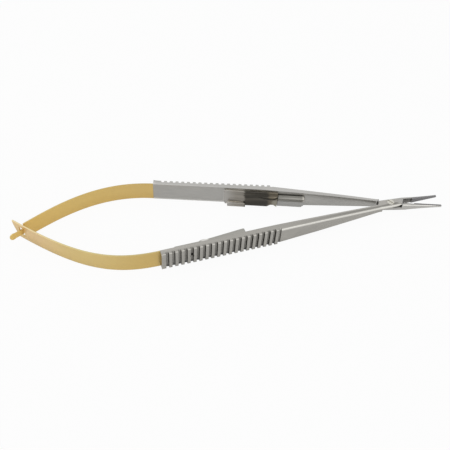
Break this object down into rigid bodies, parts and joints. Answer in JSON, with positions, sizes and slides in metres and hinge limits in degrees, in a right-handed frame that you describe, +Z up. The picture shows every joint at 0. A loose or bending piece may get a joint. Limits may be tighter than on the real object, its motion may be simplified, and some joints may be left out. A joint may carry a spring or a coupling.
{
  "type": "surgical needle holder",
  "caption": "Micro needle holder with flat cross-grooved handles, lap joint, carbide jaw faces, rocking latch and gold-plated leaf springs linked at the rear.",
  "frame": {"origin": "middle of the open instrument's outline, at the surface on which it lies on its side", "axes": "+X along the instrument towards the jaws, +Y towards the handle with the latch, +Z up from the surface"},
  "size_m": [0.1398, 0.033, 0.0065],
  "materials": {
    "arm_steel": "fine satin brushed",
    "screw_steel": "polished",
    "carbide": "fine cross-cut, dark",
    "latch_steel": "polished",
    "spring_wire": "bright drawn",
    "gold_plate": "satin gold plating",
    "pale_gold_plate": "satin gold plating, paler"
  },
  "bodies": {
    "strike_arm": {"strike_arm": "arm_steel", "strike_arm_jaw_insert": "carbide", "strike_plate": "arm_steel", "strike_rivet": "arm_steel", "strike_arm_spring": "pale_gold_plate"},
    "latch_arm": {"latch_arm": "arm_steel", "joint_screw": "screw_steel", "latch_arm_jaw_insert": "carbide", "latch_barrel": "latch_steel", "latch_torsion_spring": "spring_wire", "latch_arm_spring": "gold_plate"},
    "latch_lever": {"latch_lever": "latch_steel", "latch_pin": "latch_steel"}
  },
  "joints": [
    {"name": "handle_pivot", "type": "hinge", "parent": "strike_arm", "child": "latch_arm", "pos_m": [0.0525, 0, 0.00325], "axis": [0, 0, 1], "range_deg": [0, 14], "stiffness_Nm_per_rad": 0.6, "deforming": ["strike_arm_spring", "latch_arm_spring"]},
    {"name": "latch_swing", "type": "hinge", "parent": "latch_arm", "child": "latch_lever", "pos_m": [0.01547, 0.00649, 0.00389], "axis": [0.9828, -0.1846, 0], "range_deg": [-6, 6], "stiffness_Nm_per_rad": 0.02, "deforming": ["latch_torsion_spring"]}
  ]
}
